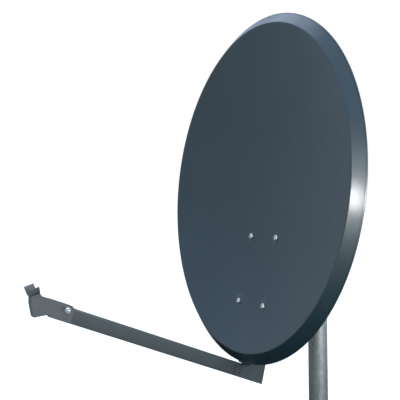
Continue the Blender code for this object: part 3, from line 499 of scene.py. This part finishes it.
def fastener_plan():
    """For each fastener: its node, its shape, its size, whether it is a ring, and its direction."""
    plan = []
    rows, hands = ("lower", "upper"), (("left", -1), ("right", 1))
    wide_m6 = dict(M6, washer=M6["flange"] + 0.7 * MM)
    wide_m8 = dict(M8, washer=M8["flange"])
    for row in rows:
        for hand, _ in hands:
            place = f"{row}_{hand}"
            plan.append((f"reflector_bolt_{place}", coach_bolt, M6, False, -SUPPORT_BACK))
            plan.append((f"foot_bolt_{place}", coach_bolt, M6, False, -SUPPORT_BACK))
            plan.append((f"clamp_bolt_{place}", hex_bolt, M8, False, -Y))
            plan.append((f"reflector_nut_{place}", flange_nut, M6, True, SUPPORT_BACK))
            plan.append((f"foot_nut_{place}", flange_nut, M6, True, SUPPORT_BACK))
            plan.append((f"clamp_nut_{place}", flange_nut, M8, True, Y))
    for hand, side in hands:
        plan.append((f"lock_bolt_{hand}", coach_bolt, M8, False, -X * side))
        plan.append((f"lock_washer_{hand}", washer, wide_m8, True, X * side))
        plan.append((f"lock_nut_{hand}", flange_nut, M8, True, X * side))
        plan.append((f"holder_washer_{hand}", washer, wide_m6, True, X * side))
    for where in ("front", "rear"):
        plan.append((f"arm_screw_{where}", flat_screw, M6, False, -ARM_UP))
        plan.append((f"arm_nut_{where}", flange_nut, M6, True, ARM_UP))
    plan.append(("pivot_bolt", hex_bolt, M8, False, X))
    plan.append(("pivot_nut", flange_nut, M8, True, -X))
    plan.append(("holder_bolt", hex_bolt, M6, False, -X))
    plan.append(("holder_nut", hex_nut, M6, True, X))
    return plan


def build_fasteners(look):
    """A fine mesh for every bolt, nut, screw and washer; equal ones share it."""
    made = {}
    for index, (node, shape, size, closed, direction) in enumerate(fastener_plan()):
        place, length = placed(node, direction)
        key = (shape.__name__, size["shank"], round(length, 5))
        if key not in made:
            bm = bmesh.new()
            skin(bm, shape(size, length), closed)
            made[key] = mesh_object(f"{node}_fine", bm).data
            bpy.data.objects.remove(bpy.data.objects[f"{node}_fine"])
        piece = bpy.data.objects.new(f"{node}_fine", made[key])
        bpy.context.scene.collection.objects.link(piece)
        turned = 0 if shape in (coach_bolt, washer) else math.radians(37 * index % 60)
        piece.matrix_world = place @ Matrix.Rotation(turned, 4, "Z")
        finish_piece(piece, node, look)


# Mast

def build_mast(steel, plastic):
    """The tube with its chamfered ends, and the cap with its soft dome."""
    low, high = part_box("mast")
    outer = (high.x - low.x) / 2
    inner = outer - MAST_WALL
    chamfer = 0.5 * MM
    profile = [(outer, chamfer), (outer, high.z * 0.5), (outer, high.z - chamfer),
               (outer - chamfer, high.z), (inner + chamfer, high.z), (inner, high.z - chamfer),
               (inner, high.z * 0.5), (inner, chamfer), (inner + chamfer, 0), (outer - chamfer, 0)]
    bm = bmesh.new()
    skin(bm, [polar_ring(h, r, MAST_STEPS) for r, h in profile], closed=True)
    finish_piece(mesh_object("mast_fine", bm), "mast", steel)

    base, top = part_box("mast_cap")
    lip = (top.x - base.x) / 2
    rise = top.z - high.z
    plug = inner - GAP
    profile = [(plug - 1.5 * MM, base.z), (plug, base.z + 2 * MM), (plug, high.z + GAP),
               (lip - 0.3 * MM, high.z + GAP), (lip, high.z + GAP + 0.3 * MM), (lip, high.z + 3.2 * MM),
               (lip - 0.3 * MM, high.z + 4.0 * MM), (lip - 0.9 * MM, high.z + 4.6 * MM)]
    for degrees in range(20, 91, 7):
        turn = math.radians(degrees)
        across = math.cos(turn) / math.cos(CAP_START)
        up = (math.sin(turn) - math.sin(CAP_START)) / (1 - math.sin(CAP_START))
        profile.append(((lip - 1.2 * MM) * across + 0.02 * MM,
                        high.z + CAP_SKIRT + (rise - CAP_SKIRT) * up))
    bm = bmesh.new()
    skin(bm, [polar_ring(h, r, MAST_STEPS) for r, h in profile])
    finish_piece(mesh_object("mast_cap_fine", bm), "mast_cap", plastic)


# Sheet metal and moulded pieces, from their CAD shapes

def soften(node, look, width, segments=3):
    """The CAD node's shape with rounded edges."""
    bm = bmesh.new()
    bm.from_mesh(frame["nodes"][node].data)
    bmesh.ops.remove_doubles(bm, verts=bm.verts, dist=0.002 * MM)
    bmesh.ops.dissolve_limit(bm, angle_limit=math.radians(1), verts=bm.verts, edges=bm.edges)
    piece = mesh_object(f"{node}_fine", bm)
    bevel = piece.modifiers.new("edges", "BEVEL")
    bevel.width = width
    bevel.segments = segments
    bevel.limit_method = "ANGLE"
    bevel.angle_limit = math.radians(35)
    bevel.use_clamp_overlap = False
    triangles = piece.modifiers.new("triangles", "TRIANGULATE")
    triangles.min_vertices = 5
    weighted = piece.modifiers.new("normals", "WEIGHTED_NORMAL")
    weighted.mode = "FACE_AREA_WITH_ANGLE"
    weighted.weight = 100
    apply_modifiers(piece)
    finish_piece(piece, node, look)


# Materials

def principled(name):
    """A node material: its tree, its shader and its node maker."""
    made = bpy.data.materials.new(name)
    made.use_nodes = True
    tree = made.node_tree
    return made, tree, tree.nodes["Principled BSDF"]


def add(tree, kind, links=None, **values):
    """A node with settings, and links from sockets into its inputs."""
    node = tree.nodes.new(kind)
    for key, value in values.items():
        if key in node.inputs:
            node.inputs[key].default_value = value
        else:
            setattr(node, key, value)
    for key, socket in (links or {}).items():
        tree.links.new(socket, node.inputs[key])
    return node


def noise_of(tree, coordinates, scale, detail=4, roughness=0.55):
    """A noise factor at a scale."""
    node = add(tree, "ShaderNodeTexNoise", {"Vector": coordinates},
               Scale=scale, Detail=detail, Roughness=roughness)
    return node.outputs["Fac"]


def ramp(tree, factor, stops):
    """A colour ramp over a factor; stops are (place, colour)."""
    node = tree.nodes.new("ShaderNodeValToRGB")
    points = node.color_ramp.elements
    while len(points) < len(stops):
        points.new(0.5)
    for point, (place, colour) in zip(points, stops):
        point.position = place
        point.color = (*colour, 1)
    tree.links.new(factor, node.inputs["Fac"])
    return node.outputs["Color"]


def span(tree, factor, low, high, start=0.0, end=1.0):
    """A factor's range mapped to another."""
    node = add(tree, "ShaderNodeMapRange", {"Value": factor})
    node.inputs["From Min"].default_value = start
    node.inputs["From Max"].default_value = end
    node.inputs["To Min"].default_value = low
    node.inputs["To Max"].default_value = high
    return node.outputs["Result"]


def mixed(tree, factor, a, b):
    """Two colours mixed by a factor."""
    node = tree.nodes.new("ShaderNodeMix")
    node.data_type = "RGBA"
    for socket, value in ((node.inputs[0], factor), (node.inputs[6], a), (node.inputs[7], b)):
        if isinstance(value, bpy.types.NodeSocket):
            tree.links.new(value, socket)
        else:
            socket.default_value = value if isinstance(value, float) else (*value, 1)
    return node.outputs[2]


def bump(tree, height, strength, distance, normal=None):
    """A bump from a height factor, on top of another."""
    node = add(tree, "ShaderNodeBump", {"Height": height}, Strength=strength, Distance=distance)
    if normal is not None:
        tree.links.new(normal, node.inputs["Normal"])
    return node.outputs["Normal"]


def object_coordinates(tree):
    """Coordinates in metres that stay with the piece."""
    return tree.nodes.new("ShaderNodeTexCoord").outputs["Object"]


def worn_edges(tree, low=0.53, high=0.60):
    """A factor that rises on convex edges."""
    geometry = tree.nodes.new("ShaderNodeNewGeometry")
    return span(tree, geometry.outputs["Pointiness"], 0.0, 1.0, low, high)


def paint(name, colour, light, roughness, coat):
    """Powder coat: fine orange peel, slight cloudiness, dust, and edges rubbed lighter."""
    made, tree, shader = principled(name)
    place = object_coordinates(tree)
    clouds = noise_of(tree, place, 5.0, 3)
    speckle = noise_of(tree, place, 900.0, 2)
    base = ramp(tree, clouds, [(0.30, [c * 0.90 for c in colour]), (0.70, [c * 1.10 for c in colour])])
    base = mixed(tree, span(tree, speckle, 0.0, 0.35, 0.45, 0.75), base, light)
    rub = noise_of(tree, place, 160.0, 3)
    edge = tree.nodes.new("ShaderNodeMath")
    edge.operation = "MULTIPLY"
    tree.links.new(worn_edges(tree), edge.inputs[0])
    tree.links.new(span(tree, rub, 0.0, 0.7, 0.45, 0.65), edge.inputs[1])
    base = mixed(tree, edge.outputs[0], base, [min(1, c * 2.2) for c in light])
    tree.links.new(base, shader.inputs["Base Color"])
    tree.links.new(span(tree, noise_of(tree, place, 40.0, 4), roughness - 0.04, roughness + 0.05, 0.3, 0.7),
                   shader.inputs["Roughness"])
    peel = noise_of(tree, place, 420.0, 2)
    grain = noise_of(tree, place, 1600.0, 1)
    normal = bump(tree, peel, 0.10, 0.15 * MM)
    tree.links.new(bump(tree, grain, 0.12, 0.05 * MM, normal), shader.inputs["Normal"])
    shader.inputs["Coat Weight"].default_value = coat
    shader.inputs["Coat Roughness"].default_value = 0.20
    return made


def plastic(name, colour, light, roughness):
    """Moulded plastic with a fine grain."""
    made, tree, shader = principled(name)
    place = object_coordinates(tree)
    base = ramp(tree, noise_of(tree, place, 28.0, 3), [(0.3, colour), (0.7, light)])
    edge = mixed(tree, span(tree, worn_edges(tree), 0.0, 0.5), base, [min(1, c * 1.6) for c in light])
    tree.links.new(edge, shader.inputs["Base Color"])
    tree.links.new(span(tree, noise_of(tree, place, 90.0), roughness - 0.06, roughness + 0.08, 0.3, 0.7),
                   shader.inputs["Roughness"])
    tree.links.new(bump(tree, noise_of(tree, place, 1300.0, 2), 0.25, 0.06 * MM), shader.inputs["Normal"])
    return made


def galvanised(name, dark, light, roughness):
    """Hot-dip zinc: spangle, run marks and dull weathered patches."""
    made, tree, shader = principled(name)
    place = object_coordinates(tree)
    cells = add(tree, "ShaderNodeTexVoronoi", {"Vector": place}, Scale=170.0)
    spangle = add(tree, "ShaderNodeSeparateColor", {"Color": cells.outputs["Color"]}).outputs[0]
    stretch = add(tree, "ShaderNodeMapping", {"Vector": place}, Scale=(1.0, 1.0, 0.16))
    streaks = noise_of(tree, stretch.outputs["Vector"], 90.0, 5, 0.65)
    patches = noise_of(tree, place, 36.0, 5, 0.6)
    base = ramp(tree, patches, [(0.32, dark), (0.66, light)])
    base = mixed(tree, span(tree, streaks, 0.0, 0.40, 0.45, 0.75), base, [c * 0.72 for c in dark])
    base = mixed(tree, span(tree, spangle, 0.0, 0.45), base, [min(1, c * 1.25) for c in light])
    tree.links.new(base, shader.inputs["Base Color"])
    rough = mixed(tree, 0.5, streaks, spangle)
    tree.links.new(span(tree, rough, roughness - 0.10, roughness + 0.16), shader.inputs["Roughness"])
    shader.inputs["Metallic"].default_value = 0.85
    normal = bump(tree, patches, 0.25, 0.25 * MM)
    tree.links.new(bump(tree, spangle, 0.12, 0.06 * MM, normal), shader.inputs["Normal"])
    return made


def zinc(name, dark, light, roughness):
    """Bright plated steel with a fine brushed and slightly stained surface."""
    made, tree, shader = principled(name)
    place = object_coordinates(tree)
    base = ramp(tree, noise_of(tree, place, 260.0, 4), [(0.3, dark), (0.62, light)])
    tree.links.new(base, shader.inputs["Base Color"])
    brushed = noise_of(tree, place, 700.0, 3)
    tree.links.new(span(tree, brushed, roughness - 0.08, roughness + 0.12, 0.3, 0.7),
                   shader.inputs["Roughness"])
    shader.inputs["Metallic"].default_value = 0.95
    tree.links.new(bump(tree, noise_of(tree, place, 1500.0, 2), 0.15, 0.04 * MM), shader.inputs["Normal"])
    return made


# Stage

FLOOR_RADIUS = 30.0
FLOOR_DROP = 0.2 * MM
FLOOR_STRENGTH = 0.62                  # of the emission that the camera sees
BOUNCE_REACH = 4.0                     # from the mast, where the floor's ramp ends
# the floor's painted glow by distance from the mast: painted shade near it, brighter farther out
BOUNCE = ((0.16, (0.010, 0.010, 0.011)), (0.50, (0.50, 0.52, 0.52)))
SKY = ((0.00, (0.02, 0.022, 0.025)), (0.38, (0.07, 0.075, 0.08)), (0.50, (0.24, 0.27, 0.30)),
       (0.72, (0.54, 0.66, 0.88)), (1.00, (0.56, 0.69, 0.92)))

# Softboxes: name, degrees from -Y towards +X and up, side, watts, colour, whether for the dish alone
LIGHT_DISTANCE = 3.0
LIGHTS = (("key", 33.8, 3.2, 0.34, 27, (1, 1, 1), True),
          ("glow", 36, 6, 1.9, 17, (0.85, 0.93, 1.0), True),
          ("top", -75, 58, 1.8, 11, (0.72, 0.84, 1.0), False),
          ("side", 96, 12, 1.2, 52, (1, 1, 1), False))


def build_floor():
    """A pale floor; what it lights and mirrors sees a painted glow that is darker near the mast, a painted
    shade under the dish.
    """
    bm = bmesh.new()
    bm.faces.new([bm.verts.new(point) for point in polar_ring(-FLOOR_DROP, FLOOR_RADIUS, 64)])
    floor = mesh_object("floor", bm)
    made, tree, shader = principled("floor")
    shader.inputs["Base Color"].default_value = (0.80, 0.80, 0.80, 1)
    shader.inputs["Roughness"].default_value = 0.9
    shader.inputs["Specular IOR Level"].default_value = 0.0
    shader.inputs["Emission Color"].default_value = (1, 1, 1, 1)
    shader.inputs["Emission Strength"].default_value = FLOOR_STRENGTH
    # Painted light for all but camera rays: an emission glow, darker near the mast as painted shade under the
    # dish
    away = add(tree, "ShaderNodeVectorMath", {0: object_coordinates(tree)}, operation="LENGTH")
    dim = tree.nodes.new("ShaderNodeEmission")
    share = span(tree, away.outputs["Value"], 0.0, 1.0, 0.0, BOUNCE_REACH)
    tree.links.new(ramp(tree, share, BOUNCE), dim.inputs["Color"])
    path = tree.nodes.new("ShaderNodeLightPath")
    mix = tree.nodes.new("ShaderNodeMixShader")
    tree.links.new(path.outputs["Is Camera Ray"], mix.inputs[0])
    tree.links.new(dim.outputs[0], mix.inputs[1])
    tree.links.new(shader.outputs[0], mix.inputs[2])
    tree.links.new(mix.outputs[0], tree.nodes["Material Output"].inputs["Surface"])
    floor.data.materials.append(made)


def build_world():
    """Light that is brighter and bluer from above, behind a white backdrop."""
    world = bpy.data.worlds.new("studio")
    bpy.context.scene.world = world
    world.use_nodes = True
    tree = world.node_tree
    direction = tree.nodes.new("ShaderNodeTexCoord").outputs["Generated"]
    height = add(tree, "ShaderNodeSeparateXYZ", {"Vector": direction}).outputs["Z"]
    glow = ramp(tree, span(tree, height, 0.0, 1.0, -1.0, 1.0), SKY)
    path = tree.nodes.new("ShaderNodeLightPath")
    shown = mixed(tree, path.outputs["Is Camera Ray"], glow, (1.0, 1.0, 1.0))
    tree.links.new(shown, tree.nodes["Background"].inputs["Color"])


def build_lights():
    """Square softboxes that look at the rim's centre; two of them light only the dish."""
    dish = bpy.data.collections.new("lit_by_key")
    for piece in bpy.context.scene.objects:
        if piece.name.startswith("reflector"):
            dish.objects.link(piece)
    for name, azimuth, elevation, side, power, colour, dish_only in LIGHTS:
        data = bpy.data.lights.new(name, "AREA")
        data.size = side
        data.energy = power
        data.color = colour
        light = bpy.data.objects.new(name, data)
        bpy.context.scene.collection.objects.link(light)
        turn, lift = math.radians(azimuth), math.radians(elevation)
        away = Vector((math.sin(turn) * math.cos(lift), -math.cos(turn) * math.cos(lift), math.sin(lift)))
        light.location = RIM_CENTRE + away * LIGHT_DISTANCE
        light.rotation_mode = "QUATERNION"
        light.rotation_quaternion = away.to_track_quat("Z", "Y")
        if dish_only:
            light.light_linking.receiver_collection = dish


# Camera

CAMERA_OFFSET = Vector((1.46763, -0.96799, -0.03392))   # from the rim's centre
CAMERA_AZIMUTH = math.radians(56.593)
CAMERA_ELEVATION = math.radians(-1.105)
CAMERA_TURNS = (("Y", -4.0985), ("X", 1.089), ("Z", 0.820))   # then about its own axes, in degrees
CAMERA_LENS = 59.578


def build_camera():
    """The camera, level with the rim's centre and in front of the dish's right side."""
    away = Vector((math.sin(CAMERA_AZIMUTH) * math.cos(CAMERA_ELEVATION),
                   -math.cos(CAMERA_AZIMUTH) * math.cos(CAMERA_ELEVATION), math.sin(CAMERA_ELEVATION)))
    right = Z.cross(away).normalized()
    look = Matrix((right, away.cross(right), away))
    for axis, degrees in CAMERA_TURNS:
        look = Matrix.Rotation(math.radians(degrees), 3, axis) @ look
    data = bpy.data.cameras.new("camera")
    data.lens = CAMERA_LENS
    data.clip_end = 100
    camera = bpy.data.objects.new("camera", data)
    bpy.context.scene.collection.objects.link(camera)
    camera.matrix_world = Matrix.Translation(RIM_CENTRE + CAMERA_OFFSET) @ look.transposed().to_4x4()
    bpy.context.scene.camera = camera


def main():
    """Builds the looks, the camera, every fine piece and the stage."""
    bpy.context.scene.view_settings.view_transform = "Standard"
    dish_paint = paint("dish_paint", (0.0115, 0.030, 0.040), (0.021, 0.045, 0.057), 0.36, 0.70)
    arm_paint = paint("arm_paint", (0.066, 0.086, 0.092), (0.090, 0.112, 0.118), 0.46, 0.05)
    holder_plastic = plastic("holder_plastic", (0.095, 0.115, 0.118), (0.118, 0.135, 0.138), 0.52)
    black = plastic("black_plastic", (0.016, 0.016, 0.018), (0.026, 0.026, 0.028), 0.5)
    steel = galvanised("galvanised_steel", (0.46, 0.505, 0.48), (0.58, 0.62, 0.595), 0.48)
    bright = zinc("zinc_steel", (0.50, 0.54, 0.55), (0.74, 0.78, 0.80), 0.36)
    build_camera()
    build_reflector(dish_paint)
    build_mast(steel, black)
    build_fasteners(bright)
    for node in ("mast_bracket", "back_support"):
        soften(node, steel, 0.35 * MM)
    for node in ("front_jaw_lower", "front_jaw_upper", "rear_jaw_lower", "rear_jaw_upper"):
        soften(node, bright, 0.25 * MM)
    soften("foot_bracket", arm_paint, 0.35 * MM)
    soften("arm_tube", arm_paint, 0.25 * MM)
    soften("lnb_holder", holder_plastic, 0.35 * MM)
    soften("arm_plug", black, 0.3 * MM)
    build_floor()
    build_world()
    build_lights()


main()
